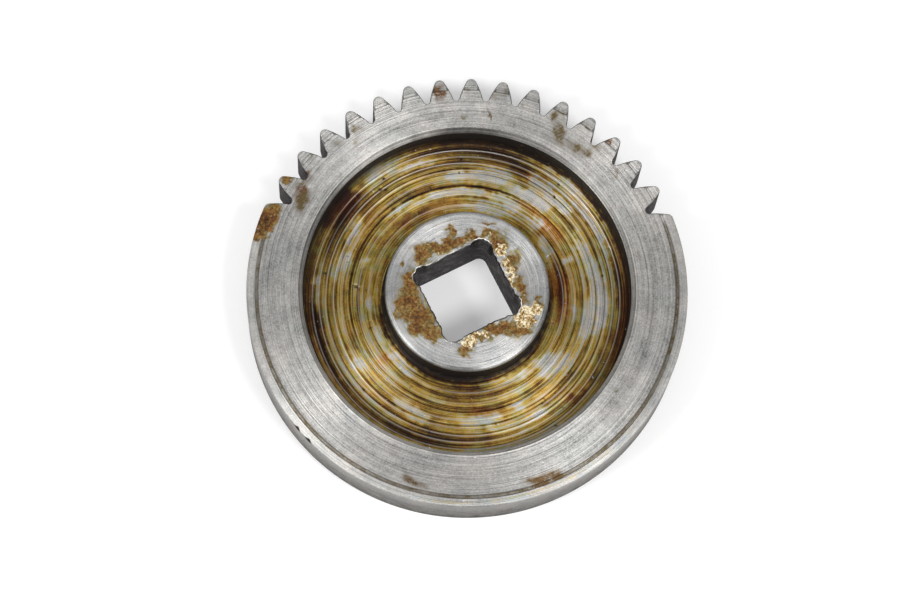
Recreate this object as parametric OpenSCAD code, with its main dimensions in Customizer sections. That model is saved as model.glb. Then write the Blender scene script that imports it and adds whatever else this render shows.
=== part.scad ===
// Shifter gear, turned from one round steel blank.
// Fifteen teeth are cut along part of its edge, the front is turned out to a dish
// with a thin web, and a hub in the middle has a square hole for the shaft.
// The hub stands proud at the back, and the gear lies on it: the origin is on the axis
// at that face, +Z points out of the dish and +Y runs through the middle tooth.

/* [Teeth] */
// Module of the teeth: pitch diameter over the teeth of a full turn
tooth_module = 1.5875; // [1.5:0.0125:1.7]
// Teeth that this pitch would give in a full turn
full_turn_teeth = 42; // [40:1:46]
// Teeth that are cut, side by side
teeth_cut = 15; // [5:1:25]
// Pressure angle of the tooth flanks
pressure_angle = 25; // [20:0.5:26]
// Tooth thickness along the pitch circle
tooth_t = 2.62; // [2.4:0.02:2.7]
// Clearance at the bottom of a gap, below the tip of a mating tooth
root_clearance = 0.45; // [0.3:0.05:0.6]
// Rounding of the worn tooth corners
tip_round = 0.4; // [0.1:0.05:0.45]

/* [Rim] */
// Thickness of the rim and of the teeth, from their back to the face of the rim
rim_t = 9.525; // [8:0.025:12]
// Width of the land between the groove and the outer edge
outer_land_w = 1.25; // [0.8:0.05:1.8]
// Drop of that land below the face of the rim
outer_land_drop = 0.1; // [0:0.02:0.3]
// Width of the shallow groove turned in the face of the rim
groove_w = 0.7; // [0.4:0.05:1.2]
// Depth of that groove below the face of the rim
groove_depth = 0.26; // [0.15:0.01:0.5]
// Chamfer on the outer edges, front and back
edge_chamfer = 0.15; // [0.1:0.05:0.5]

/* [Dish] */
// Diameter of the dish at the face of the rim
dish_d = 53.6; // [51:0.1:55]
// Width of the chamfer round the mouth of the dish
dish_chamfer_w = 0.72; // [0.3:0.02:1.2]
// Depth of that chamfer
dish_chamfer_h = 0.97; // [0.3:0.01:1.5]
// Thickness of the web, from the back of the rim to the floor of the dish
web_t = 3.825; // [3:0.025:5]
// Fillet between the wall of the dish and its floor
dish_fillet = 1.35; // [0.5:0.05:2]
// Radius of the inner turned ring in the floor
inner_ring_r = 18.65; // [17:0.05:20]
// Radius of the middle turned ring
middle_ring_r = 20.8; // [20.4:0.05:21.5]
// Radius of the outer turned ring
outer_ring_r = 22.15; // [21.9:0.05:22.5]
// Width of the turned rings
ring_w = 0.3; // [0.1:0.05:0.4]
// Depth of the turned rings
ring_depth = 0.1; // [0.05:0.01:0.2]

/* [Hub] */
// Diameter of the hub
hub_d = 26.1; // [23:0.1:30]
// Drop of the hub's face below the face of the rim
hub_drop = 0.65; // [0:0.05:2]
// Rounding of the hub's top edge
hub_edge = 0.6; // [0.2:0.05:1]
// Fillet at the foot of the hub
hub_fillet = 0.5; // [0.2:0.05:1.5]
// Diameter of the hub at the back
rear_hub_d = 26.1; // [23:0.1:40]
// Height of the hub at the back, beyond the back of the rim
rear_hub_h = 2.38; // [1:0.02:5]
// Chamfer on the edge of the rear hub
rear_hub_chamfer = 0.4; // [0.1:0.05:0.8]

/* [Square hole] */
// Side of the square shaft that the gear slides on
shaft_side = 12.7; // [10:0.1:14]
// Clearance of the hole over the shaft, across the flats
shaft_clearance = 0.05; // [0.02:0.01:0.3]
// Radius of the corners of the square
corner_r = 1.3; // [0.5:0.1:2]
// Diameter of the worn hollows at the corners of its mouth
mouth_hollow_d = 3.6; // [3:0.1:4.5]
// Distance that those hollows run past the flats
mouth_hollow_out = 0.3; // [0.1:0.05:0.4]
// Depth of those hollows below the hub's face
mouth_hollow_h = 2; // [0.5:0.1:4]
// Turn of the square against the middle tooth
square_turn = 28; // [0:0.25:89]

/* [Wear] */
// Radius of the nicks knocked into the outer front edge
nick_r = 0.8; // [0.5:0.05:1.2]
// Depth of those nicks
nick_depth = 0.3; // [0.1:0.05:0.4]

/* [Hidden] */
$fn = 96;

// Angles of the nicks, counted from +X
nick_angles = [221.4, 225.6];
// Steps along a tooth flank, a worn corner and a quarter round
flank_steps = 6;
corner_steps = 4;
fillet_steps = 5;
// First guess at the round that closes a tooth gap, and the rounds of refining it
round_guess = 0.5;
round_tries = 12;
// Length by which a cutter runs past what it cuts
overcut = 1;

pitch_r = tooth_module * full_turn_teeth / 2;
outer_r = pitch_r + tooth_module;
root_r = pitch_r - tooth_module - root_clearance;
base_r = pitch_r * cos(pressure_angle);
pitch_angle = 360 / full_turn_teeth;
dish_r = dish_d / 2;
wall_r = dish_r - dish_chamfer_w;
rim_back = rear_hub_h;
rim_top = rim_back + rim_t;
land_top = rim_top - outer_land_drop;
floor_z = rim_back + web_t;
hub_r = hub_d / 2;
hub_top = rim_top - hub_drop;
rear_hub_r = rear_hub_d / 2;
groove_outer_r = outer_r - outer_land_w;
groove_inner_r = groove_outer_r - groove_w;

// Angle of an involute at pressure angle a, both in degrees
function involute(a) = tan(a) * 180 / PI - a;

// Pressure angle of the flank at radius r
function flank_angle(r) = r > base_r ? acos(base_r / r) : 0;

// Half the angle that a tooth takes up at radius r
function tooth_half(r) =
    tooth_t / pitch_r * 90 / PI + involute(pressure_angle) - involute(flank_angle(r));

// Width worn off each side of a tooth at radius r
function worn_width(r) =
    let (above = r - (outer_r - tip_round))
    above <= 0 ? 0 : tip_round - sqrt(max(0, tip_round * tip_round - above * above));

// Half the angle of the gap between two teeth at radius r
function gap_half(r) = pitch_angle / 2 - tooth_half(r) + worn_width(r) / r * 180 / PI;

// Radius of the full round that closes a gap: it touches the root circle and both flanks
function root_round(guess, tries) =
    tries == 0 ? guess
    : root_round((root_r + guess) * sin(gap_half(root_r + guess)), tries - 1);

gap_round = root_round(round_guess, round_tries);
flank_start_r = root_r + gap_round;
corner_start_r = outer_r - tip_round;
gap_radii = concat(
    [for (i = [0:flank_steps])
        flank_start_r + (corner_start_r - flank_start_r) * i / flank_steps],
    [for (i = [1:corner_steps])
        corner_start_r + tip_round * sin(90 * i / corner_steps)]);

// Points of one flank of a gap from its bottom out; side is 1 or -1
function gap_flank(side) = concat(
    [for (r = gap_radii) [side * r * sin(gap_half(r)), r * cos(gap_half(r))]],
    [(outer_r + overcut) * [side * sin(gap_half(outer_r)), cos(gap_half(outer_r))]]);

// Quarter round from angle a0 to a1 about a centre
function quarter(centre, r, a0, a1) =
    [for (i = [0:fillet_steps])
        let (a = a0 + (a1 - a0) * i / fillet_steps)
        centre + r * [cos(a), sin(a)]];

// One space between two teeth, cut through the whole rim
module tooth_gap() {
    translate([0, 0, rim_back - overcut])
        linear_extrude(rim_t + 2 * overcut) {
            flank = gap_flank(1);
            polygon(concat(flank, [for (i = [len(flank) - 1:-1:0]) [-flank[i][0], flank[i][1]]]));
            translate([0, flank_start_r]) circle(r = gap_round, $fn = 16);
        }
}

// The blank as it comes off the lathe
module turned_blank() {
    rotate_extrude()
        polygon(concat(
            [[0, 0],
             [rear_hub_r - rear_hub_chamfer, 0],
             [rear_hub_r, rear_hub_chamfer],
             [rear_hub_r, rim_back],
             [outer_r - edge_chamfer, rim_back],
             [outer_r, rim_back + edge_chamfer],
             [outer_r, land_top - edge_chamfer],
             [outer_r - edge_chamfer, land_top],
             [groove_outer_r, land_top],
             [groove_outer_r - groove_w / 4, rim_top - groove_depth],
             [groove_inner_r + groove_w / 4, rim_top - groove_depth],
             [groove_inner_r, rim_top],
             [dish_r, rim_top],
             [wall_r, rim_top - dish_chamfer_h]],
            quarter([wall_r - dish_fillet, floor_z + dish_fillet], dish_fillet, 0, -90),
            quarter([hub_r + hub_fillet, floor_z + hub_fillet], hub_fillet, 270, 180),
            quarter([hub_r - hub_edge, hub_top - hub_edge], hub_edge, 0, 90),
            [[0, hub_top]]));
}

// A shallow ring that the tool left in the floor of the dish
module turned_ring(r) {
    rotate_extrude()
        polygon([
            [r - ring_w / 2, floor_z],
            [r, floor_z - ring_depth],
            [r + ring_w / 2, floor_z],
            [r, floor_z + ring_depth]]);
}

// Four copies of a child, one in each corner at x = y = at
module in_corners(at) {
    for (x = [-at, at])
        for (y = [-at, at])
            translate([x, y, 0])
                children();
}

// The square hole: flats that fit the shaft, and hollows worn in the corners of its mouth
module square_hole() {
    across = shaft_side + shaft_clearance;
    corner_at = across / 2 - corner_r;
    hollow_at = across / 2 + mouth_hollow_out - mouth_hollow_d / 2;
    rotate([0, 0, square_turn]) {
        translate([0, 0, -overcut])
            linear_extrude(hub_top + 2 * overcut) {
                square([across, 2 * corner_at], center = true);
                square([2 * corner_at, across], center = true);
                in_corners(corner_at) circle(r = corner_r, $fn = 32);
            }
        translate([0, 0, hub_top - mouth_hollow_h])
            in_corners(hollow_at)
                cylinder(h = mouth_hollow_h + overcut, d = mouth_hollow_d, $fn = 32);
    }
}

// A nick in the outer front edge
module nick() {
    translate([outer_r + nick_r - nick_depth, 0, land_top])
        sphere(r = nick_r, $fn = 16);
}

module shifter_gear() {
    color("silver")
        difference() {
            turned_blank();
            for (r = [inner_ring_r, middle_ring_r, outer_ring_r])
                turned_ring(r);
            for (i = [0:teeth_cut])
                rotate([0, 0, (i - teeth_cut / 2) * pitch_angle])
                    tooth_gap();
            square_hole();
            for (angle = nick_angles)
                rotate([0, 0, angle])
                    nick();
        }
}

shifter_gear();
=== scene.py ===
import math

import bpy
import numpy as np
from mathutils import Matrix, Vector, noise


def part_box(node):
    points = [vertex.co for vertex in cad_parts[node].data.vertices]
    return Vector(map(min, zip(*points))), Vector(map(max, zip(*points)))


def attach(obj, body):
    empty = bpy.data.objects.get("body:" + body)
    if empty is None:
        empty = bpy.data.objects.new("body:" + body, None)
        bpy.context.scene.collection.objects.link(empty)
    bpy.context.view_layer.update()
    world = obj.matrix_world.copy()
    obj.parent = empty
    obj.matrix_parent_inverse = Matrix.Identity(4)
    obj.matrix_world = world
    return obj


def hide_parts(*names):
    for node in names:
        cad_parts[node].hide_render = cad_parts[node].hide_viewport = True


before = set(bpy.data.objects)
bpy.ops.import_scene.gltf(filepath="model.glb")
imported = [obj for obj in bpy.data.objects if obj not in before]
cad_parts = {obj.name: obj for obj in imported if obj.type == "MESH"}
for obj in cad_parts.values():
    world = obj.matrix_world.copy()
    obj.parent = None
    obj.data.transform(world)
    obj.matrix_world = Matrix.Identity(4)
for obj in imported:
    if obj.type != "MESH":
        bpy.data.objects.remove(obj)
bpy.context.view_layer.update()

# The view. The gear lies on its back on a white table, and the camera looks down on it from
# above its plain edge, a little turned. Places are in millimetres, in the gear's own frame.
MM = 0.001
CAMERA_AT = Vector((-15.413, -138.51, 559.10)) * MM
CAMERA_AIM = Vector((-2.717, -1.777, 11.905)) * MM
CAMERA_ROLL = math.radians(6.65)
CAMERA_LENS = 142.86
SENSOR_WIDTH = 36.0

scene = bpy.context.scene
scene.view_settings.view_transform = "Standard"
camera_data = bpy.data.cameras.new("camera")
camera_data.lens = CAMERA_LENS
camera_data.sensor_width = SENSOR_WIDTH
camera_data.clip_start = 0.01
camera = bpy.data.objects.new("camera", camera_data)
aim = (CAMERA_AIM - CAMERA_AT).to_track_quat("-Z", "Y").to_matrix().to_4x4()
camera.matrix_world = Matrix.Translation(CAMERA_AT) @ aim @ Matrix.Rotation(CAMERA_ROLL, 4, "Z")
scene.collection.objects.link(camera)
scene.camera = camera

# The edge of the blank. Fifteen teeth are cut in one stretch of it, with full round bottoms to
# the gaps between them, and their corners are worn round. The rest of the edge stays plain, with
# two nicks knocked into it. Every column of the gear's mesh starts from a point of this outline.
gear_low, gear_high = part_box("shifter_gear")
OUTER_R = -gear_low.y / MM
TOOTH_MODULE = 1.5875
FULL_TURN_TEETH = 42
TEETH_CUT = 15
PRESSURE_ANGLE = math.radians(25)
TOOTH_T = 2.62
ROOT_CLEARANCE = 0.45
TIP_ROUND = 0.4
ROUND_GUESS = 0.5
ROUND_TRIES = 12
BOTTOM_STEPS = 3
FLANK_STEPS = 4
CORNER_STEPS = 3
PLAIN_STEP = math.radians(0.9)
NICK_STEP = math.radians(0.3)
NICK_REACH = math.radians(1.5)
NICKS = [math.radians(221.4), math.radians(225.6)]
NICK_R = 0.8
NICK_DEPTH = 0.3

pitch_r = TOOTH_MODULE * FULL_TURN_TEETH / 2
base_r = pitch_r * math.cos(PRESSURE_ANGLE)
root_r = pitch_r - TOOTH_MODULE - ROOT_CLEARANCE
pitch_angle = 2 * math.pi / FULL_TURN_TEETH


def involute(angle):
    return math.tan(angle) - angle


def gap_half(r):
    """Half the angle of the gap between two teeth at radius r."""
    flank = math.acos(base_r / r)
    tooth_half = TOOTH_T / pitch_r / 2 + involute(PRESSURE_ANGLE) - involute(flank)
    above = max(0.0, r - (OUTER_R - TIP_ROUND))
    worn = TIP_ROUND - math.sqrt(max(0.0, TIP_ROUND ** 2 - above ** 2))
    return pitch_angle / 2 - tooth_half + worn / r


def gap_side():
    """One side of a gap, as angles from its middle and radii, from its bottom to a tooth's middle."""
    bottom_r = ROUND_GUESS
    for _ in range(ROUND_TRIES):
        bottom_r = (root_r + bottom_r) * math.sin(gap_half(root_r + bottom_r))
    centre = root_r + bottom_r
    side = []
    for i in range(BOTTOM_STEPS):
        turn = math.pi / 2 * i / BOTTOM_STEPS
        x, y = bottom_r * math.sin(turn), centre - bottom_r * math.cos(turn)
        side.append((math.atan2(x, y), math.hypot(x, y)))
    corner_start = OUTER_R - TIP_ROUND
    for i in range(FLANK_STEPS + 1):
        r = centre + (corner_start - centre) * i / FLANK_STEPS
        side.append((gap_half(r), r))
    for i in range(1, CORNER_STEPS + 1):
        r = corner_start + TIP_ROUND * math.sin(math.pi / 2 * i / CORNER_STEPS)
        side.append((gap_half(r), r))
    return side + [(pitch_angle / 2, OUTER_R)]


def edge_outline():
    """The edge's angles and radii, and the angles at which its columns cross the rim."""
    side = gap_side()
    steps = len(side) - 1
    cell = [(-side[i][0], side[i][1], -i) for i in range(steps, 0, -1)]
    cell += [(side[i][0], side[i][1], i) for i in range(steps)]
    outline = []
    for k in range(TEETH_CUT + 1):
        middle = math.pi / 2 + (k - TEETH_CUT / 2) * pitch_angle
        for angle, r, i in cell:
            outline.append((middle + angle, r, middle + pitch_angle / 2 * i / steps))
    angle = math.pi / 2 + (TEETH_CUT + 1) / 2 * pitch_angle
    end = outline[0][0] + 2 * math.pi
    while angle < end - PLAIN_STEP / 2:
        outline.append((angle, OUTER_R, angle))
        near = min(abs(angle - nick) for nick in NICKS) < NICK_REACH
        angle += NICK_STEP if near else PLAIN_STEP
    return [np.array(values) for values in zip(*outline)]


edge_a, edge_r, column_a = edge_outline()
columns = len(edge_a)

# The square hole. It is broached right through the hub and its walls are dark. The corners of
# its mouth are worn hollow, and a thin burr stands along the mouth, painted bright as a highlight.
HOLE_SIDE = 12.75
CORNER_R = 1.3
HOLLOW_R = 1.8
HOLLOW_OUT = 0.3
HOLLOW_H = 2.0
HOLE_BREAK = 0.12
MOUTH_W = 0.14
SQUARE_TURN = math.radians(28)


def far_side(turn, centre, r):
    """Distance from the axis to the far side of a circle that has its centre on the diagonal."""
    along = centre * (np.cos(turn) + np.sin(turn))
    inside = r * r - 2 * centre * centre + along * along
    return np.where(inside > 0, along + np.sqrt(np.maximum(inside, 0)), 0)


def hole_radius(worn):
    """Radius of the hole in each column; worn goes from 0, as broached, to 1 at its mouth."""
    turn = np.mod(column_a - SQUARE_TURN, math.pi / 2)
    half = HOLE_SIDE / 2
    corner_at = half - CORNER_R
    flat = half / np.maximum(np.cos(turn), np.sin(turn))
    in_corner = np.minimum(np.cos(turn), np.sin(turn)) * flat > corner_at
    square = np.where(in_corner, far_side(turn, corner_at, CORNER_R), flat)
    hollow = far_side(turn, half + HOLLOW_OUT - HOLLOW_R, HOLLOW_R)
    return np.maximum(square, square + (hollow - square) * worn)


# The blank. It is turned from one round steel bar: a thin web between a thick rim and a hub, a
# groove near the edge of the rim, and rings where the tool stopped in the web. The mesh is one
# closed skin, made of rows that run round the axis, from the hole over the front to the back.
EDGE_CHAMFER = 0.15
RIM_T = 9.525
LAND_W = 1.25
LAND_DROP = 0.1
GROOVE_W = 0.7
GROOVE_DEPTH = 0.26
DISH_R = 26.8
DISH_CHAMFER_W = 0.72
DISH_CHAMFER_H = 0.97
WEB_T = 3.825
DISH_FILLET = 1.35
RING_R = (18.65, 20.8, 22.15)
RING_W = 0.3
RING_DEPTH = 0.1
LIP_W = 0.28
LIP_H = 0.06
HUB_R = 13.05
HUB_DROP = 0.65
HUB_EDGE = 0.6
HUB_FILLET = 0.5
REAR_HUB_CHAMFER = 0.4
WEB_STEP = 0.33
BORDER = 0.03
ANCHOR_R = 30.3
SQUEEZE = 0.03
SHARP_EDGE = math.radians(32)

rim_top = gear_high.z / MM
rim_back = rim_top - RIM_T
land_top = rim_top - LAND_DROP
floor_z = rim_back + WEB_T
hub_top = rim_top - HUB_DROP
groove_out_r = OUTER_R - LAND_W
groove_in_r = groove_out_r - GROOVE_W
wall_r = DISH_R - DISH_CHAMFER_W
wall_top = rim_top - DISH_CHAMFER_H
lip_r = wall_r - DISH_FILLET
hub_face_r = HUB_R - HUB_EDGE

rows = []
row_zones = []


def add_row(zone, angle, r, z):
    """One closed row of points round the axis, and the name of the surface that it lies on."""
    angle, r, z = (np.broadcast_to(value, columns) for value in (angle, r, z))
    rows.append(np.stack([r * np.cos(angle), r * np.sin(angle), z], axis=1))
    row_zones.append(zone)


def add_rows(zone, r_from, r_to, z_from, z_to, steps):
    """Rows on a straight stretch of the section, the first of them just past its start."""
    shares = np.linspace(0, 1, steps + 1)
    shares[0] = 0.01
    for share in shares:
        add_row(zone, column_a, r_from + (r_to - r_from) * share, z_from + (z_to - z_from) * share)


def add_arc(zone, centre_r, centre_z, r, start, end, steps):
    """Rows round a fillet or a rounded edge, both of its ends taken in."""
    for turn in np.radians(np.linspace(start, end, steps + 1)):
        add_row(zone, column_a, centre_r + r * np.cos(turn), centre_z + r * np.sin(turn))


def face_height(r):
    """Height of the rim's front face at radius r: flat, then the groove, then the land."""
    slope = GROOVE_W / 4
    at = [groove_in_r, groove_in_r + slope, groove_out_r - slope, groove_out_r]
    return np.interp(r, at, [rim_top, rim_top - GROOVE_DEPTH, rim_top - GROOVE_DEPTH, land_top])


def inset_outline(depth):
    """The edge's outline moved into the steel by a depth, as angles and radii."""
    x, y = edge_r * np.cos(edge_a), edge_r * np.sin(edge_a)
    along = np.stack([np.roll(x, -1) - np.roll(x, 1), np.roll(y, -1) - np.roll(y, 1)])
    along /= np.hypot(along[0], along[1])
    x, y = x - along[1] * depth, y + along[0] * depth
    angle = np.arctan2(y, x)
    return angle + 2 * math.pi * np.round((edge_a - angle) / (2 * math.pi)), np.hypot(x, y)


inset_a, inset_r = inset_outline(EDGE_CHAMFER)


def add_toothed_row(zone, r, rows_left, height):
    """A row at radius r that stops short at the edge, with the rows after it packed behind it."""
    row_r = np.minimum(r, inset_r - rows_left * SQUEEZE)
    share = (row_r - ANCHOR_R) / (inset_r - ANCHOR_R)
    add_row(zone, column_a + (inset_a - column_a) * share, row_r, height(row_r))


broached = hole_radius(0.0)
mouth = hole_radius(1.0)
for z in np.linspace(HOLE_BREAK, hub_top - HOLE_BREAK, 9):
    worn = max(0.0, (z - (hub_top - HOLLOW_H)) / HOLLOW_H) ** 0.5
    add_row("hole", column_a, hole_radius(worn), z)
add_row("mouth", column_a, mouth + MOUTH_W, hub_top)
add_row("burr", column_a, mouth + 2 * MOUTH_W, hub_top)
add_rows("hub", mouth + 2 * MOUTH_W, hub_face_r - BORDER, hub_top, hub_top, 21)
add_arc("hub_edge", hub_face_r, hub_top - HUB_EDGE, HUB_EDGE, 90, 0, 4)
add_rows("hub_side", HUB_R, HUB_R, hub_top - HUB_EDGE, floor_z + HUB_FILLET + BORDER, 2)
add_arc("hub_foot", HUB_R + HUB_FILLET, floor_z + HUB_FILLET, HUB_FILLET, 180, 270, 3)

web_r = np.arange(HUB_R + HUB_FILLET + WEB_STEP, lip_r - LIP_W - WEB_STEP / 2, WEB_STEP)
web_r = [r for r in web_r if min(abs(r - ring) for ring in RING_R) > RING_W]
web_r.append(HUB_R + HUB_FILLET + BORDER)
for ring in RING_R:
    web_r += [ring - RING_W / 2, ring, ring + RING_W / 2]
for r in sorted(web_r):
    add_row("web", column_a, r, floor_z - (RING_DEPTH if r in RING_R else 0))
add_row("web", column_a, lip_r - LIP_W, floor_z)
add_row("lip", column_a, lip_r - LIP_W / 2, floor_z + LIP_H)
add_arc("dish_foot", lip_r, floor_z + DISH_FILLET, DISH_FILLET, -90, 0, 6)
add_rows("dish_wall", wall_r, wall_r, floor_z + DISH_FILLET, wall_top, 3)
add_rows("dish_chamfer", wall_r, DISH_R, wall_top, rim_top, 2)
add_rows("rim", DISH_R, ANCHOR_R, rim_top, rim_top, 10)

front_r = [30.8, 31.3, 31.8, 32.25, 32.65, groove_in_r, groove_in_r + GROOVE_W / 4,
           groove_out_r - GROOVE_W / 4, groove_out_r, 33.9, 34.15, 34.4, 34.6, OUTER_R]
for i, r in enumerate(front_r):
    add_toothed_row("rim", r, len(front_r) - 1 - i, face_height)
edge_top, edge_low = land_top - EDGE_CHAMFER, rim_back + EDGE_CHAMFER
for z in [edge_top, edge_top - 0.15, edge_top - 0.35, edge_top - 0.65]:
    add_row("edge", edge_a, edge_r, z)
for z in np.linspace(edge_top - 1.2, edge_low, 7):
    add_row("edge", edge_a, edge_r, z)
back_r = [OUTER_R, 33.5, 31.8]
for i, r in enumerate(back_r):
    add_toothed_row("back", r, i, lambda row_r: rim_back)
add_rows("back", ANCHOR_R, HUB_R, rim_back, rim_back, 4)
add_rows("rear_side", HUB_R, HUB_R, rim_back, REAR_HUB_CHAMFER, 2)
add_rows("rear_side", HUB_R, HUB_R - REAR_HUB_CHAMFER, REAR_HUB_CHAMFER, 0, 1)
add_rows("rear_hub", HUB_R - REAR_HUB_CHAMFER, broached + HOLE_BREAK, 0, 0, 3)

points = np.concatenate(rows)
zones = np.repeat(row_zones, columns)

# The wear and dirt, and painted light and shade. Thin oil has dried to a gold and brown film in the
# dish and is rubbed off in patches, and rust and a pale crust have grown round the hole. Some marks
# paint shade, dark reflections, sheen and highlights instead. Marks are noted as they are seen
# from above, so they are turned with the gear: (angle, radius, half angle, half width, amount).
SEEN_TURN = math.radians(1.15)
# The bare patches near 45 to 64 degrees, and the broad faint ones at 225 and 296 degrees, are partly
# painted sheen where the fans of reflected light fall
FILM_RUBBED_OFF_AND_SHEEN = [
    (21, 20.4, 11, 0.8, 0.9), (9, 21.5, 8, 0.7, 0.6), (22, 17.3, 2.5, 0.9, 0.8),
    (34, 15.4, 5, 0.8, 0.5), (45, 22.0, 4, 0.9, 0.8), (50, 21.1, 4.5, 1.0, 0.9),
    (55, 20.2, 5, 1.0, 1.0), (61, 19.7, 5, 0.8, 1.0), (57, 22.6, 6, 0.9, 0.6),
    (30, 23.6, 18, 0.45, 0.6), (48, 25.0, 14, 0.9, 0.45), (47, 17.1, 3, 0.9, 0.8),
    (64, 16.8, 2.5, 0.9, 0.7), (52, 16.0, 8, 0.5, 0.5), (93, 17.6, 18, 0.55, 0.95),
    (71, 17.4, 5, 0.8, 0.85), (79, 20.3, 10, 1.0, 0.5), (78, 21.5, 8, 0.6, 0.5),
    (94, 20.4, 6, 0.8, 0.6), (75, 15.4, 17, 0.7, 0.5), (128, 18.2, 6, 0.4, 0.45),
    (111, 23.3, 6, 0.5, 0.6), (115, 25.2, 12, 0.7, 0.25), (126, 25.4, 8, 0.9, 0.4),
    (150, 21.1, 6, 0.6, 0.5), (147, 21.6, 4, 1.0, 0.35), (163, 20.0, 6, 0.7, 0.35),
    (166, 21.3, 5, 0.8, 0.35), (175, 24.1, 4, 0.6, 0.5), (161, 17.3, 4, 0.5, 0.4),
    (183, 15.6, 4, 0.6, 0.45), (205, 15.1, 4, 0.6, 0.35), (212, 20.3, 5, 1.0, 0.55),
    (218, 15.1, 4, 0.8, 0.5), (230, 15.2, 6, 0.7, 0.35), (245, 20.5, 6.5, 1.1, 0.85),
    (270, 20.3, 9, 0.9, 0.45), (280, 20.2, 4, 1.0, 0.5), (296, 19.3, 3, 0.8, 0.4),
    (303, 22.1, 4, 0.8, 0.35), (307, 15.5, 5, 0.6, 0.4), (323, 17.6, 7, 1.1, 0.85),
    (321, 15.8, 6, 0.5, 0.5), (351, 20.3, 8, 1.6, 0.85), (355, 21.9, 5, 1.1, 0.8),
    (353, 17.5, 6, 0.6, 0.35), (3, 21.3, 8, 1.3, 0.4), (225, 19.5, 13, 2.6, 0.12),
    (296, 18.5, 9, 3.0, 0.15), (292, 14.3, 10, 0.6, 0.4), (222, 14.2, 13, 0.5, 0.5),
]
# Near radius 25.4 to 25.9 to the north and east these marks paint the dish wall's shadow on its foot, and
# near radius 14 south of the hub the dark band at its foot, partly dirt and partly painted shade
FILM_GATHERED_AND_SHADE = [
    (8, 15.2, 15, 1.6, 0.5), (68, 22.6, 6, 1.1, 0.35), (88, 25.4, 28, 1.4, 0.45),
    (92, 21.4, 6, 0.5, 0.3), (80, 18.6, 16, 0.35, 0.35), (112, 19.0, 20, 0.35, 0.35),
    (128, 19.4, 14, 0.5, 0.3), (142, 25.0, 9, 1.5, 0.65), (136, 16.1, 18, 0.8, 0.35),
    (153, 17.2, 8, 1.4, 0.25), (157, 23.6, 12, 1.1, 0.3), (141, 20.0, 3, 0.7, 0.2),
    (190, 23.6, 13, 1.1, 0.3), (171, 18.5, 3, 0.4, 0.3), (200, 24.3, 16, 0.5, 0.35),
    (188, 24.3, 5, 0.5, 0.3), (230, 24.3, 30, 0.6, 0.3), (262, 23.2, 18, 1.9, 0.25),
    (277, 21.9, 2.5, 1.4, 0.35), (280, 18.9, 9, 0.6, 0.35), (270, 16.4, 18, 1.6, 0.36),
    (268, 14.1, 22, 1.0, 0.55), (200, 13.9, 14, 0.6, 0.4), (319, 23.0, 2, 1.2, 0.35),
    (322, 20.8, 6, 0.8, 0.2), (350, 25.4, 24, 1.2, 0.35), (10, 24.5, 12, 0.6, 0.25),
    (348, 14.2, 10, 0.9, 0.3), (100, 15.6, 20, 1.4, 0.1), (80, 23.4, 20, 1.2, 0.32),
    (142, 22.8, 12, 1.4, 0.28), (45, 25.9, 40, 0.4, 0.5), (230, 13.8, 45, 0.5, 0.7),
    (300, 13.8, 30, 0.5, 0.6), (175, 25.4, 28, 1.0, 0.3),
]
FILM_REDDENED = [
    (8, 15.2, 16, 1.8, 1.0), (350, 16.0, 12, 1.6, 0.4), (355, 25.6, 24, 1.1, 0.9),
    (142, 24.8, 8, 1.8, 0.8), (280, 18.9, 10, 0.8, 0.6), (319, 23.0, 3, 1.6, 0.8),
    (53, 18.2, 10, 0.8, 0.8), (40, 17.2, 8, 1.6, 0.7), (218, 16.8, 4, 1.3, 0.8),
    (200, 25.0, 22, 0.8, 0.7), (228, 21.8, 10, 0.8, 0.5), (62, 22.4, 8, 1.0, 0.4),
    (40, 24.0, 8, 0.8, 0.5), (139, 20.0, 5, 1.2, 0.6), (112, 15.4, 22, 1.2, 0.5),
    (245, 19.0, 8, 0.6, 0.4), (310, 20.0, 10, 1.2, 0.3), (147, 31.1, 3, 1.1, 1.0),
    (292, 32.7, 6, 1.6, 0.45), (253, 31.9, 3, 1.2, 0.4), (97.8, 32.8, 2, 2.0, 0.8),
    (46.5, 33.5, 2, 1.2, 1.0),
]
RIM_STAINS = [
    (40.3, 30.6, 0.9, 0.7, 0.6), (49.8, 29.6, 1.6, 0.8, 0.5), (49.6, 31.4, 1.6, 0.5, 0.5),
    (53.5, 29.2, 2.4, 0.8, 0.5), (60.2, 30.1, 2.0, 1.2, 0.7), (60.0, 28.8, 3.4, 0.8, 0.4),
    (62.9, 32.0, 1.2, 0.9, 0.65), (74.5, 28.3, 1.0, 0.4, 0.4), (125.5, 30.1, 1.0, 0.45, 0.4),
    (145.9, 31.5, 1.5, 0.7, 0.7), (148.1, 30.8, 1.9, 0.7, 0.7), (150.9, 30.1, 1.9, 0.8, 0.6),
    (153.2, 29.5, 1.5, 0.8, 0.45), (46.8, 33.6, 0.9, 0.6, 0.9), (63, 33.0, 0.6, 0.2, 0.7),
    (73.5, 31.8, 0.5, 0.3, 0.8), (80.5, 33.2, 1.0, 1.2, 0.4), (89, 33.0, 0.6, 0.2, 0.6),
    (54.6, 33.0, 0.6, 0.2, 0.6), (132, 33.0, 0.6, 0.2, 0.6), (141, 33.0, 0.6, 0.2, 0.6),
    (97.8, 32.8, 1.2, 1.3, 0.7), (123.6, 32.0, 1.2, 0.9, 0.6), (131.5, 31.6, 1.2, 0.6, 0.45),
    (292, 32.7, 3.4, 0.7, 0.8), (287.5, 32.2, 2.6, 0.5, 0.6), (295.5, 33.3, 1.4, 0.5, 0.6),
    (253, 31.9, 1.8, 0.45, 0.9), (256, 32.3, 1.2, 0.4, 0.6), (325.5, 28.4, 0.5, 0.25, 0.8),
    (92.2, 28.3, 0.5, 0.3, 0.6), (136.7, 27.5, 0.6, 0.4, 0.4), (84, 29.2, 0.25, 1.2, 0.5),
]
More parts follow.
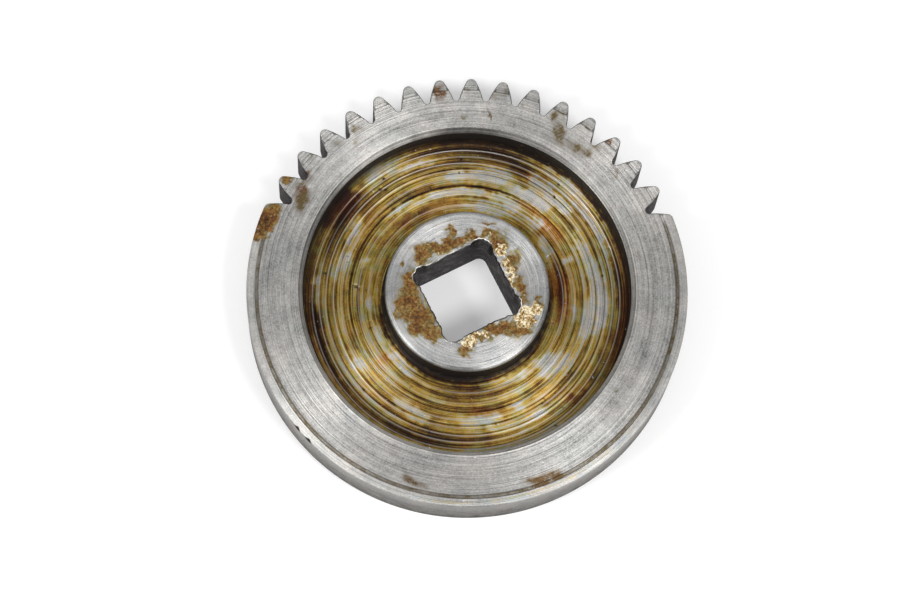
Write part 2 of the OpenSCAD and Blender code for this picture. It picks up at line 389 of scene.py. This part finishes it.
GROOVE_DIRT = [(200, 33.2, 40, 0.6, 0.4), (290, 33.2, 60, 0.6, 0.4), (0, 33.2, 25, 0.6, 0.5)]
# Painted dark reflections on the dish's chamfer, darkest on its far side
CHAMFER_DARK_REFLECTIONS = [(88, 26.4, 16, 1.5, 0.6), (150, 26.4, 22, 1.5, 0.45), (240, 26.4, 14, 1.5, 0.05),
                (350, 26.4, 12, 1.5, 0.15), (190, 26.4, 25, 1.5, 0.15), (60, 26.4, 10, 1.5, 0.2)]
# Painted dark reflections on the hub's rounded edge, most on the side towards the camera
HUB_EDGE_DARK_REFLECTIONS = [(268, 12.8, 12, 1.5, 0.75), (335, 12.8, 14, 1.5, 0.2)]
# Stretches where the mouth of the hole is darkened
MOUTH_DARKENING = [(215, 6.8, 24, 4, 1.0), (295, 6.8, 24, 4, 1.0), (28, 6.8, 24, 4, 0.6)]
# Painted highlights on the land, on the dish's chamfer, along the lip and on the hub's rounded edge
PAINTED_HIGHLIGHTS = [(225, 34.3, 30, 0.7, 1.0), (300, 34.3, 25, 0.7, 0.25), (180, 34.3, 20, 0.7, 0.5),
            (118, 26.6, 8, 1.4, 1.0), (132, 26.6, 12, 1.4, 0.6), (228, 26.4, 28, 0.8, 1.0),
            (112, 24.6, 40, 0.5, 1.0), (25, 24.6, 40, 0.5, 1.0),
            (285, 12.9, 26, 0.6, 0.6), (218, 12.9, 26, 0.6, 0.5), (40, 12.9, 40, 0.6, 0.5)]
EDGE_RUST = [(147.6, 33.9, 1.9, 1.0, 0.85), (160.5, 33.4, 5.2, 1.5, 1.0), (163, 34.5, 3.5, 1.0, 1.0)]

# Small pits in the web, and a scratch like a comma, noted as a run of pits: (angle, radius)
PIT_R = 0.24
PIT_DEPTH = 0.08
PITS = [
    (93, 20.9), (50, 22.1), (126, 22.1), (163, 19.8), (198, 16.0), (245, 20.4), (222.5, 22.1),
    (255, 22.6), (283, 21.0), (305, 20.8), (304.5, 25.0), (344, 14.4), (24.5, 14.2), (10, 22.1),
    (52, 24.1), (20, 24.4), (92, 23.0), (127.5, 22.6), (124, 23.7), (160, 20.2), (195, 15.8),
    (239, 17.0), (307, 20.6), (311, 23.4), (28, 15.1), (118, 16.0), (107.5, 19.0), (170, 23.0),
]
COMMA_SCRATCH = [(173.6, 18.2), (173.9, 17.9), (174.2, 17.6), (174.8, 17.3), (175.6, 17.1)]

# Marks on the hub's face are noted across and up from the axis: (x, y, half x, half y, amount)
HUB_RUST = [
    (-8.9, -1.4, 1.9, 2.6, 1.0), (-7.7, -4.2, 2.7, 2.3, 1.0), (-6.9, -6.4, 2.7, 1.5, 1.0),
    (-4.9, -7.5, 1.7, 0.8, 1.0), (-9.2, 1.4, 1.1, 2.0, 0.8), (-6.9, 5.9, 1.4, 1.7, 1.0),
    (-4.7, 6.9, 1.8, 1.0, 1.0), (-2.6, 7.7, 1.8, 1.0, 1.0), (-0.5, 8.4, 1.7, 0.8, 1.0),
    (-2.6, 9.6, 0.6, 1.1, 0.9), (1.3, 9.0, 1.5, 0.6, 0.9), (2.9, 9.2, 1.6, 0.6, 1.0),
    (4.8, 7.9, 1.3, 1.3, 1.0), (7.4, 4.8, 1.1, 1.6, 1.0), (8.6, 0.0, 1.0, 2.2, 0.9),
    (6.2, -6.0, 2.3, 1.2, 1.0), (8.4, -6.4, 1.7, 0.9, 1.0), (4.4, -6.5, 2.2, 0.8, 1.0),
    (-0.2, -9.6, 1.0, 0.9, 0.9), (3.4, 11.3, 0.9, 0.3, 0.7), (-10.8, 4.6, 0.4, 0.7, 0.7),
    (11.5, -2.0, 0.7, 0.7, 0.8), (1.4, -7.6, 2.0, 0.8, 0.9), (-10.6, -3.0, 0.5, 2.4, 0.7),
]
HUB_CRUST = [
    (5.2, 6.3, 1.1, 1.6, 1.0), (6.4, 4.2, 0.9, 1.4, 1.0), (7.3, 2.0, 0.8, 1.8, 0.9),
    (9.7, -3.0, 2.1, 1.1, 1.0), (9.0, -4.7, 1.7, 1.4, 1.0), (1.8, -7.0, 2.0, 0.5, 0.9),
    (0.0, -8.2, 1.5, 0.8, 1.0), (-4.6, 6.2, 1.4, 0.3, 0.7), (3.4, 8.7, 0.6, 0.4, 0.7),
]

# Stretches of the burr, painted bright as a highlight: (angle, radius, half angle, half width, amount)
BURRS = [(73, 8.3, 11, 4, 1.0), (158, 8.3, 12, 4, 1.0), (343, 8.3, 9, 4, 1.0),
         (253, 8.3, 8, 4, 0.9), (118, 7.0, 24, 4, 0.5), (30, 7.2, 14, 4, 0.3)]

# How far the outlines of the marks wander: in degrees round the axis, in mm out from it, and in
# mm over the hub's face, in wide waves and in small ones
MARK_SWAY = 5.0
MARK_SPREAD = 0.45
FACE_WAVE = 0.9
FACE_RIPPLE = 0.6

# Size of the stained halo against its patch of rust, how far the edge's rust runs down in mm,
# and the heights in mm of the lumps, which begin where rust and crust together pass a value
HALO_REACH = 1.35
RUST_FADE = 1.6
RUST_FADE_WAVE = 1.2
CRUST_H = 0.3
RUST_H = 0.07
LUMPS_FROM = 0.15

# The burr's height in mm, the share by which the mouth of the hole waves in and out, and how
# far in mm that wave runs out over the hub's face and over what width it dies away
BURR_H = 0.06
MOUTH_WAVE = 0.03
MOUTH_REACH = 2.5
MOUTH_FADE = 2.2

x, y, z = points.T
radius = np.hypot(x, y)
seen = np.degrees(np.arctan2(y, x) - SEEN_TURN)
seen_x, seen_y = radius * np.cos(np.radians(seen)), radius * np.sin(np.radians(seen))


def ragged(size, shift):
    """Smooth chance values for every point, which make the outlines of the marks ragged."""
    return np.array([noise.noise(Vector((a / size, b / size, shift))) for a, b in zip(x, y)])


sway_round = MARK_SWAY * (ragged(2.2, 1.3) + 0.6 * ragged(0.9, 4.7))
sway_out = MARK_SPREAD * (ragged(1.7, 7.9) + 0.8 * ragged(0.7, 9.1))
ragged_x = seen_x + FACE_WAVE * ragged(1.6, 12.5) + FACE_RIPPLE * ragged(0.6, 15.5)
ragged_y = seen_y + FACE_WAVE * ragged(1.6, 17.5) + FACE_RIPPLE * ragged(0.6, 19.5)


def apart(angle, other):
    """Smallest turn between angles, in degrees."""
    return (angle - other + 180) % 360 - 180


def round_marks(marks, sway=1.0):
    """Sum of marks that are given by their angle and radius, at every point of the skin."""
    total = np.zeros(len(points))
    for angle, r, half_angle, half_width, amount in marks:
        turn = apart(seen + sway_round * sway, angle) / half_angle
        far = turn ** 2 + ((radius + sway_out * sway - r) / half_width) ** 2
        total += amount * np.exp(-(far ** 1.3))
    return total


def face_marks(marks, reach=1.0):
    """The strongest of the marks that are given across and up, all of them widened by reach."""
    total = np.zeros(len(points))
    for across, up, half_across, half_up, amount in marks:
        far = ((ragged_x - across) / half_across) ** 2 + ((ragged_y - up) / half_up) ** 2
        total = np.maximum(total, amount * np.exp(-((far / reach ** 2) ** 1.5)))
    return total


def on(*names):
    """1 at the points that lie on the named surfaces, 0 elsewhere."""
    return np.isin(zones, names).astype(float)


front = on("web", "lip", "dish_foot", "hub_foot")
hub_face = on("hub", "burr")
plain = np.tile(np.abs(column_a - math.pi / 2) > (TEETH_CUT + 1) / 2 * pitch_angle, len(rows))
flank = on("edge") * (np.tile(edge_r, len(rows)) < OUTER_R - 0.2)
down = np.clip((land_top - z) / RIM_T, 0, 1)
groove = on("rim") * plain * (radius > groove_in_r + 0.05) * (radius < groove_out_r - 0.05)
groove *= 0.4 + round_marks(GROOVE_DIRT)
land = on("rim") * plain * (radius > groove_out_r + 0.1)
halo = face_marks(HUB_RUST, HALO_REACH) * hub_face

# Dried oil, thicker where it gathered, thinner where it was rubbed off, and red in places. Some of the
# thick marks are painted shade and some of the thin ones painted sheen, and the dish's wall is
# darkened as painted shade.
film = 0.52 * on("web", "hub_foot") + 0.32 * on("lip") + 0.45 * on("dish_foot")
film -= 0.85 * round_marks(FILM_RUBBED_OFF_AND_SHEEN) * front
film += round_marks(FILM_GATHERED_AND_SHADE) * front * np.interp(radius, [22.5, 24], [0.55, 1])
film = np.where(front > 0, np.clip(film, 0.17, 1.1), film)
# The dish's wall is darkened as painted shade; a thin film lies on the back, on the land and round the
# rust
film += 0.8 * on("dish_wall") + 0.07 * on("back", "rear_side") + 0.1 * land + 0.36 * halo
red = np.clip(round_marks(FILM_REDDENED), 0, 1)

# Brown stains on the rim, in its groove and round the rust on the hub, and the outer edge
# browner towards its bottom
stain = np.clip(on("rim") * round_marks(RIM_STAINS, 0.6), 0, 0.65)
stain += 0.55 * groove + 0.22 * on("edge") * down + 0.3 * halo

# Rust and crust on the hub's face, and rust on the end of the plain rim that fades down its side
fade = np.exp(-(np.clip(land_top - z, 0, None) / (RUST_FADE + RUST_FADE_WAVE * ragged(1.1, 23.5))) ** 2)
rust = face_marks(HUB_RUST) * hub_face + round_marks(EDGE_RUST, 0.5) * on("rim", "edge") * fade
rust = np.clip(rust, 0, 1.35)
crust = face_marks(HUB_CRUST) * hub_face

# Black in the hole, dirt in the groove, painted shade in the hollows of the dish and round the hub's
# foot, painted dark reflections, and darkening on the mouth of the hole, the outer edge and the teeth
# The hole's walls black, the hub's side and the corner at its foot nearly black, partly dirt and partly
# painted shade, and the dish's wall black as painted shade
soot = on("hole", "hub_foot") + 1.4 * on("hub_side") + 1.15 * on("dish_wall")
# Painted shade on the dish's foot, darker towards its wall
soot += on("dish_foot") * np.interp(radius, [24.9, 26.0], [0.05, 0.6])
# Painted dark reflections on the dish's chamfer
soot += on("dish_chamfer") * (0.12 + round_marks(CHAMFER_DARK_REFLECTIONS))
# Painted dark reflections on the hub's rounded edge
soot += on("hub_edge") * round_marks(HUB_EDGE_DARK_REFLECTIONS)
# The mouth of the hole darkened, most in three stretches
soot += on("mouth") * (0.7 + round_marks(MOUTH_DARKENING))
# Dirt in the groove, the outer edge darker towards its bottom, and the flanks of the teeth darkened
soot += 0.1 * groove + on("edge") * (0.25 + 0.5 * down) + 0.8 * flank
# A painted dark reflection on the rim's face, on the side towards the camera
soot += 0.16 * on("rim") * np.exp(-(apart(seen, 268) / 22) ** 2)

# Painted highlights along the land, the dish's chamfer, the lip and the hub's rounded edge, the land
# rubbed bright, the web lighter towards the hub and the hub's face lighter, and the burr along the
# mouth of the hole, painted bright as a highlight
polish = np.clip(on("rim", "lip", "dish_chamfer", "hub_edge") * round_marks(PAINTED_HIGHLIGHTS), 0, 1)
polish += 0.5 * on("web") * np.interp(radius, [20, 24], [1, 0]) + 0.4 * hub_face + 0.35 * land
burr = np.clip(on("burr") * round_marks(BURRS), 0, 1)

for angle, r in PITS + COMMA_SCRATCH:
    near = np.hypot(np.radians(apart(seen, angle)) * radius, radius - r) < PIT_R
    soot[near & (front > 0)] = 1.0
    z[near & (front > 0)] -= PIT_DEPTH

# The rust and the crust stand up in lumps
for i in np.flatnonzero((crust + rust > LUMPS_FROM) & (hub_face > 0)):
    spot = Vector((x[i], y[i], 0))
    lump = noise.noise(spot * 1.9) * 0.6 + noise.noise(spot * 4.5) * 0.5
    z[i] += max(0.0, (crust[i] * CRUST_H + rust[i] * RUST_H) * (0.7 + lump))

# The mouth of the hole is worn to a wavy line, and its burr stands up
near_mouth = np.clip((z - hub_top + HOLLOW_H) / HOLLOW_H, 0, 1) * on("hole", "mouth", "burr", "hub")
near_mouth *= np.clip((np.tile(mouth, len(rows)) + MOUTH_REACH - radius) / MOUTH_FADE, 0, 1)
for i in np.flatnonzero(near_mouth):
    spot = Vector((x[i], y[i], 3.7))
    wave = noise.noise(spot * 0.7) + 0.6 * noise.noise(spot * 1.9)
    push = 1 + MOUTH_WAVE * near_mouth[i] * wave
    x[i] *= push
    y[i] *= push
    if zones[i] == "burr":
        z[i] += BURR_H * (1 + noise.noise(spot * 1.1))

# Points inside the ball that knocked a nick move out to its surface, and the nick is painted dark
nick_out = OUTER_R + NICK_R - NICK_DEPTH
for nick in NICKS:
    centre = np.array([nick_out * math.cos(nick), nick_out * math.sin(nick), land_top])
    away = np.stack([x, y, z], axis=1) - centre
    distance = np.linalg.norm(away, axis=1)
    hit = (distance < NICK_R) & (distance > 0)
    x[hit], y[hit], z[hit] = (away[hit] / distance[hit][:, None] * NICK_R + centre).T
    soot[hit] = 1.1

grid = np.arange(len(points)).reshape(len(rows), columns)
next_column, next_row = np.roll(grid, -1, 1), np.roll(grid, -1, 0)
quads = np.stack([grid, next_row, np.roll(next_row, -1, 1), next_column], axis=-1)
skin = bpy.data.meshes.new("shifter_gear_steel")
skin.from_pydata((np.stack([x, y, z], axis=1) * MM).tolist(), [], quads.reshape(-1, 4).tolist())
skin.update()
skin.shade_smooth()
skin.set_sharp_from_angle(angle=SHARP_EDGE)
for name, amounts in {"film": film, "red": red, "rust": rust, "crust": crust, "soot": soot,
                      "burr": burr, "polish": polish, "stain": stain}.items():
    skin.attributes.new(name, "FLOAT", "POINT").data.foreach_set("value", amounts.astype(np.float32))

# The finish. Bright turned steel, whose fine rings draw the light into fans, lighter where highlights
# are painted. Over it lie, from the bottom up, dried oil from gold to black, brown stains, black dirt
# and painted shade, rust, the pale crust on the rust, and the burr, painted bright as a highlight.


class Tone:
    """A socket of a material. Sums on tones add Math nodes to its tree."""

    def __init__(self, tree, socket=None):
        self.tree = tree
        self.socket = socket

    def node(self, kind, settings, sockets, output=0):
        """Any node: its type, its settings, what its sockets take, and which output is used."""
        made = self.tree.nodes.new(kind)
        for name, value in settings.items():
            if name == "stops":
                ramp = made.color_ramp
                for stop in value[2:]:
                    ramp.elements.new(stop[0])
                for element, stop in zip(ramp.elements, value):
                    element.position = stop[0]
                for element, stop in zip(ramp.elements, value):
                    element.color = (*stop[1], 1)
            else:
                setattr(made, name, value)
        for name, value in sockets.items():
            if isinstance(value, Tone):
                self.tree.links.new(value.socket, made.inputs[name])
            else:
                made.inputs[name].default_value = value
        return Tone(self.tree, made.outputs[output])

    def into(self, made, name):
        """Links the value to the named input of a node."""
        self.tree.links.new(self.socket, made.inputs[name])

    def sum_of(self, operation, a, b):
        return self.node("ShaderNodeMath", {"operation": operation}, {0: a, 1: b})

    def __add__(self, other):
        return self.sum_of("ADD", self, other)

    __radd__ = __add__

    def __mul__(self, other):
        return self.sum_of("MULTIPLY", self, other)

    __rmul__ = __mul__

    def __sub__(self, other):
        return self.sum_of("SUBTRACT", self, other)

    def __rsub__(self, other):
        return self.sum_of("SUBTRACT", other, self)

    def swing(self, amount):
        """How far a chance value is from its middle, times an amount."""
        return (self - 0.5) * amount

    def step(self, low, high):
        """A smooth step from 0 at low to 1 at high."""
        return self.node("ShaderNodeMapRange", {"interpolation_type": "SMOOTHSTEP"},
                         {"Value": self, "From Min": low, "From Max": high})

    def within(self):
        """The value held between 0 and 1."""
        return self.node("ShaderNodeClamp", {}, {"Value": self})

    def mix(self, under, over):
        """The colour under, covered by the colour over as far as this value says."""
        return self.node("ShaderNodeMix", {"data_type": "RGBA"}, {0: self, 6: under, 7: over}, 2)

    def tinted(self, tint):
        """The colour multiplied by another colour."""
        return self.node("ShaderNodeMix", {"data_type": "RGBA", "blend_type": "MULTIPLY"},
                         {0: 1.0, 6: self, 7: tint}, 2)

    def scaled(self, factor):
        """The place or the colour multiplied by one number."""
        return self.node("ShaderNodeVectorMath", {"operation": "SCALE"}, {0: self, "Scale": factor})

    def ramp(self, stops):
        return self.node("ShaderNodeValToRGB", {"stops": stops}, {"Fac": self})


def rgb(*values):
    return (*values, 1)


# Colours of the oil and of the reddened oil from bare steel to the thickest, of the rust from
# thin to deep, and of the crust from its foot to its top
FILM_STOPS = [(0.0, (0.32, 0.315, 0.32)), (0.18, (0.32, 0.3, 0.28)), (0.3, (0.32, 0.265, 0.15)),
              (0.43, (0.33, 0.23, 0.045)), (0.55, (0.22, 0.135, 0.024)), (0.69, (0.12, 0.066, 0.02)),
              (0.84, (0.055, 0.028, 0.012)), (1.0, (0.02, 0.012, 0.008))]
RED_STOPS = [(0.0, (0.32, 0.315, 0.32)), (0.18, (0.31, 0.28, 0.26)), (0.32, (0.29, 0.19, 0.1)),
             (0.43, (0.3, 0.155, 0.045)), (0.55, (0.22, 0.09, 0.022)), (0.69, (0.14, 0.045, 0.012)),
             (0.84, (0.07, 0.02, 0.008)), (1.0, (0.03, 0.01, 0.006))]
RUST_STOPS = [(0.18, (0.15, 0.115, 0.045)), (0.36, (0.165, 0.1, 0.028)), (0.55, (0.15, 0.072, 0.018)),
              (0.75, (0.11, 0.045, 0.013)), (0.95, (0.07, 0.035, 0.016))]
CRUST_STOPS = [(0.34, (0.075, 0.035, 0.01)), (0.44, (0.27, 0.16, 0.05)), (0.52, (0.52, 0.41, 0.22)),
               (0.6, (0.78, 0.72, 0.56))]
STEEL_COOL = rgb(0.306, 0.306, 0.296)
STEEL_WARM = rgb(0.34, 0.326, 0.31)
# Bright steel for the rubbed rings, also painted as highlights along the lip and the dish's chamfer
RUBBED_STEEL_AND_HIGHLIGHT = rgb(0.6, 0.57, 0.54)
# The burr's steel, painted bright as a highlight
BURR_HIGHLIGHT_STEEL = rgb(0.8, 0.79, 0.78)
HUB_TINT = rgb(0.93, 0.96, 1.0)
GREEN_TINT = rgb(0.8, 0.97, 1.15)
STAIN_BROWN = rgb(0.105, 0.078, 0.036)
STAIN_RED = rgb(0.11, 0.05, 0.022)
# Black for dirt, and for painted shade and dark reflections
DIRT_AND_SHADE_BLACK = rgb(0.022, 0.019, 0.018)
RUST_CREAM = rgb(0.42, 0.32, 0.15)

# Rings that the tool left and dirt fills, with a dark line along the dish's chamfer at 26.62, and ridges
# that are rubbed bright; the bright rings at 24.6, 26.4 and 26.83 are painted highlights along the lip
# and the dish's chamfer: (radius, strength)
DARK_RINGS = [(16.2, 0.5), (18.1, 0.5), (18.65, 0.9), (19.55, 0.6), (20.8, 0.8), (21.5, 0.6),
              (22.15, 0.9), (22.8, 0.6), (23.2, 0.6), (26.62, 0.8)]
BRIGHT_RINGS = [(15.5, 0.6), (17.25, 0.6), (19.9, 0.6), (21.2, 0.8), (22.45, 0.9), (23.5, 0.8),
                (24.6, 1.0), (26.4, 0.5), (26.83, 1.0)]
RING_HALF = 0.15
RING_SPAN = 15.0

# How the bare steel shines, the height of its fine relief, and how rough the chance values are
STEEL_ROUGHNESS = 0.42
STEEL_SPECULAR = 0.2
FAN_STRENGTH = 0.75
FAN_TURN = 0.25
RELIEF_H = 0.08 * MM
CHANCE_ROUGHNESS = 0.6

steel = bpy.data.materials.new("turned_steel")
steel.use_nodes = True
skin.materials.append(steel)
shader = steel.node_tree.nodes["Principled BSDF"]
start = Tone(steel.node_tree)
place = start.node("ShaderNodeTexCoord", {}, {}, "Object").scaled(1 / MM)
split = {axis: start.node("ShaderNodeSeparateXYZ", {}, {0: place}, axis) for axis in "XYZ"}
flat_place = start.node("ShaderNodeCombineXYZ", {}, {"X": split["X"], "Y": split["Y"]})
out_r = start.node("ShaderNodeVectorMath", {"operation": "LENGTH"}, {0: flat_place}, "Value")
heading = start.node("ShaderNodeVectorMath", {"operation": "NORMALIZE"}, {0: flat_place})
heading_x = start.node("ShaderNodeSeparateXYZ", {}, {0: heading}, "X")
heading_y = start.node("ShaderNodeSeparateXYZ", {}, {0: heading}, "Y")


def chance(at, scale, detail):
    """Chance values from 0 to 1 that change smoothly over a place."""
    return start.node("ShaderNodeTexNoise", {}, {"Vector": at, "Scale": scale, "Detail": detail,
                                                  "Roughness": CHANCE_ROUGHNESS})


def streaks(turn, width, detail, shift):
    """Marks that run round the axis: each about so many degrees long and so many mm wide."""
    along = math.degrees(1) / turn
    out = (out_r + split["Z"]) * (1 / width) + shift
    at = start.node("ShaderNodeCombineXYZ", {}, {"X": heading_x * along, "Y": heading_y * along, "Z": out})
    return chance(at, 1.0, detail)


def speckle(size, detail, shift):
    """Even mottling with spots of about the given size in mm."""
    at = start.node("ShaderNodeVectorMath", {"operation": "ADD"}, {0: place, 1: (shift, 0, 0)})
    return chance(at, 1 / size, detail)


def ring_marks(rings):
    """Value that is 0 but for thin rings of the given radius and strength."""
    stops = [(0.0, (0, 0, 0))]
    for r, amount in rings:
        for step, value in ((-1, 0.0), (0, amount), (1, 0.0)):
            stops.append(((r + step * RING_HALF - HUB_R) / RING_SPAN, (value,) * 3))
    return ((out_r - HUB_R) * (1 / RING_SPAN)).ramp(stops)


def painted(name):
    """What the points of the skin carry under a name."""
    return start.node("ShaderNodeAttribute", {"attribute_name": name}, {}, "Fac")


film_and_painted_light_t, red_t, rust_t = painted("film"), painted("red"), painted("rust")
crust_t, dirt_and_shade_t, burr_t = painted("crust"), painted("soot"), painted("burr")
polish_and_highlights_t, stain_t = painted("polish"), painted("stain")

wide_streaks = streaks(34, 0.7, 3.0, 0.0)
long_streaks = streaks(75, 0.3, 3.0, 40.0)
fine_streaks = streaks(50, 0.12, 2.0, 80.0)
turned_lines = streaks(120, 0.2, 1.0, 120.0).step(0.53, 0.64)
blotches = speckle(1.6, 4.0, 0.0)
patches = speckle(5.0, 3.0, 90.0)
grain = speckle(0.25, 3.0, 30.0)
worn_away = (long_streaks * 1.6 - 0.3).within()
dark_rings = ring_marks(DARK_RINGS) * worn_away
bright_rings = ring_marks(BRIGHT_RINGS) * worn_away

# The oil, broken up by streaks along the turning, over the bare steel
has_film = (film_and_painted_light_t * 4.5).within()
uneven = wide_streaks.swing(1.7) + long_streaks.swing(1.3) + blotches.swing(0.8)
uneven = uneven + fine_streaks - 0.5 + (turned_lines - 0.2) * 0.25
uneven = uneven + dark_rings * 0.35 + grain.swing(0.9)
# The oil's level, which also carries painted shade and painted sheen
level = (film_and_painted_light_t + uneven * has_film * 0.72).within()
film_colour = level.ramp(FILM_STOPS)
greener = speckle(2.6, 3.0, 140.0).step(0.44, 0.6)
film_colour = greener.mix(film_colour, film_colour.tinted(GREEN_TINT))
redness = (red_t + speckle(2.2, 2.0, 70.0).swing(1.4)).within()
colour = redness.mix(film_colour, level.ramp(RED_STOPS))
bare_steel = (patches.swing(3) + 0.5).within().mix(STEEL_COOL, STEEL_WARM)
colour = level.step(0.08, 0.28).mix(bare_steel, colour)
on_hub = (1 - out_r.step(12.8, 13.1)) * 0.7
colour = on_hub.mix(colour, colour.tinted(HUB_TINT))
# Rubbed bright rings, and painted highlights along the lip and the dish's chamfer
colour = (bright_rings * 0.8).mix(colour, RUBBED_STEEL_AND_HIGHLIGHT)
shade = 1 + fine_streaks.swing(1.2) + long_streaks.swing(0.9) + grain.swing(1.3)
shade = shade + blotches.swing(0.8) + patches.swing(0.5) - turned_lines * 0.16
# Lighter where highlights are painted and where the steel is rubbed bright
shade = shade - dark_rings * 0.35 + polish_and_highlights_t * 0.35
colour = colour.scaled(shade)

# The stains, and the black of dirt and of painted shade
stain_amount = (stain_t * (1.6 + blotches.swing(4.5) + grain.swing(5.0))).within()
colour = stain_amount.mix(colour, red_t.mix(STAIN_BROWN, STAIN_RED))
dirt_and_shade_amount = (dirt_and_shade_t * (1 + blotches.swing(1.3) + long_streaks.swing(0.8))).within()
dirt_and_shade_amount = (dirt_and_shade_amount - polish_and_highlights_t * 0.6 - bright_rings * 0.5).within()
colour = dirt_and_shade_amount.mix(colour, DIRT_AND_SHADE_BLACK)

# The rust with its pale grains, then the crust, then the burr, painted bright as a highlight
rust_level = rust_t + speckle(0.9, 4.0, 15.0).swing(0.9)
rust_edge = rust_level.step(0.2, 0.62)
rust_depth = rust_level * 0.6 + speckle(1.4, 4.0, 55.0).swing(1.6)
pale_grains = speckle(0.5, 4.0, 33.0).step(0.54, 0.7) * 0.4
rust_colour = pale_grains.mix(rust_depth.ramp(RUST_STOPS), RUST_CREAM)
rust_shade = 0.5 + speckle(0.4, 4.0, 22.0).step(0.36, 0.62) * 0.8 - rust_t.step(0.9, 1.3) * 0.3
colour = rust_edge.mix(colour, rust_colour.scaled(rust_shade))
crust_edge = (crust_t + speckle(0.7, 4.0, 25.0).swing(0.9)).step(0.42, 0.58)
colour = crust_edge.mix(colour, speckle(0.4, 4.0, 65.0).ramp(CRUST_STOPS))
burr_highlight_edge = (burr_t + speckle(0.8, 3.0, 5.0).swing(1.4)).step(0.25, 0.5)
colour = burr_highlight_edge.mix(colour, BURR_HIGHLIGHT_STEEL)
dull = (rust_edge + crust_edge + crust_t.step(0.08, 0.3) * 0.8 - burr_highlight_edge).within()
relief = (fine_streaks + long_streaks * 0.7) * (1 - dull) + grain * 0.08
relief = relief + dull * speckle(0.3, 4.0, 45.0) * 1.4

colour.into(shader, "Base Color")
(1 - dull).into(shader, "Metallic")
(STEEL_ROUGHNESS + blotches.swing(0.15) + dull * 0.4 + dirt_and_shade_amount * 0.1).into(shader, "Roughness")
shader.inputs["Anisotropic"].default_value = FAN_STRENGTH
shader.inputs["Anisotropic Rotation"].default_value = FAN_TURN
shader.inputs["Specular IOR Level"].default_value = STEEL_SPECULAR
bump = start.node("ShaderNodeBump", {}, {"Strength": 1.0, "Distance": RELIEF_H, "Height": relief})
bump.into(shader, "Normal")

gear = bpy.data.objects.new("shifter_gear_steel", skin)
scene.collection.objects.link(gear)
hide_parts("shifter_gear")
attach(gear, "root")

# The table and the light. The table is white paper, and two soft lamps stand in front of the
# gear, to the left and to the right, in a bright white room.
TABLE_HALF = 2.0
TABLE_WHITE = 0.8
TABLE_GLOW = 0.25
ROOM_LIGHT = 0.6
LAMP_FAR = 0.8
LAMP_SIZE = 0.25
LAMP_POWER = 3.0
LAMPS = {"left": (207, 50), "right": (320, 60)}


def seen_directly(tone):
    """1 for what the camera sees, also in a mirror or through glass, and 0 for other light."""
    path = {name: tone.node("ShaderNodeLightPath", {}, {}, name)
            for name in ("Is Camera Ray", "Is Glossy Ray", "Is Transmission Ray")}
    return (path["Is Camera Ray"] + path["Is Glossy Ray"] + path["Is Transmission Ray"]).within()


table_mesh = bpy.data.meshes.new("table")
half = TABLE_HALF
table_mesh.from_pydata([(-half, -half, 0), (half, -half, 0), (half, half, 0), (-half, half, 0)],
                       [], [(0, 1, 2, 3)])
table = bpy.data.objects.new("table", table_mesh)
scene.collection.objects.link(table)
paper = bpy.data.materials.new("white_paper")
paper.use_nodes = True
table_mesh.materials.append(paper)
shader = paper.node_tree.nodes["Principled BSDF"]
shader.inputs["Base Color"].default_value = rgb(TABLE_WHITE, TABLE_WHITE, TABLE_WHITE)
shader.inputs["Roughness"].default_value = 1.0
shader.inputs["Specular IOR Level"].default_value = 0.0
shader.inputs["Emission Color"].default_value = rgb(1, 1, 1)
glow = seen_directly(Tone(paper.node_tree)) * TABLE_GLOW
glow.into(shader, "Emission Strength")

world = bpy.data.worlds.new("white_room")
scene.world = world
world.use_nodes = True
room = world.node_tree.nodes["Background"]
room.inputs["Color"].default_value = rgb(1, 1, 1)
room_light = ROOM_LIGHT + seen_directly(Tone(world.node_tree)) * (1 - ROOM_LIGHT)
room_light.into(room, "Strength")

for name, (around, above) in LAMPS.items():
    lamp_data = bpy.data.lights.new("lamp_" + name, "AREA")
    lamp_data.shape = "DISK"
    lamp_data.size = LAMP_SIZE
    lamp_data.energy = LAMP_POWER
    lamp = bpy.data.objects.new("lamp_" + name, lamp_data)
    around, above = math.radians(around), math.radians(above)
    toward = (math.cos(around) * math.cos(above), math.sin(around) * math.cos(above), math.sin(above))
    lamp.location = Vector(toward) * LAMP_FAR
    lamp.rotation_euler = (-lamp.location).to_track_quat("-Z", "Y").to_euler()
    scene.collection.objects.link(lamp)
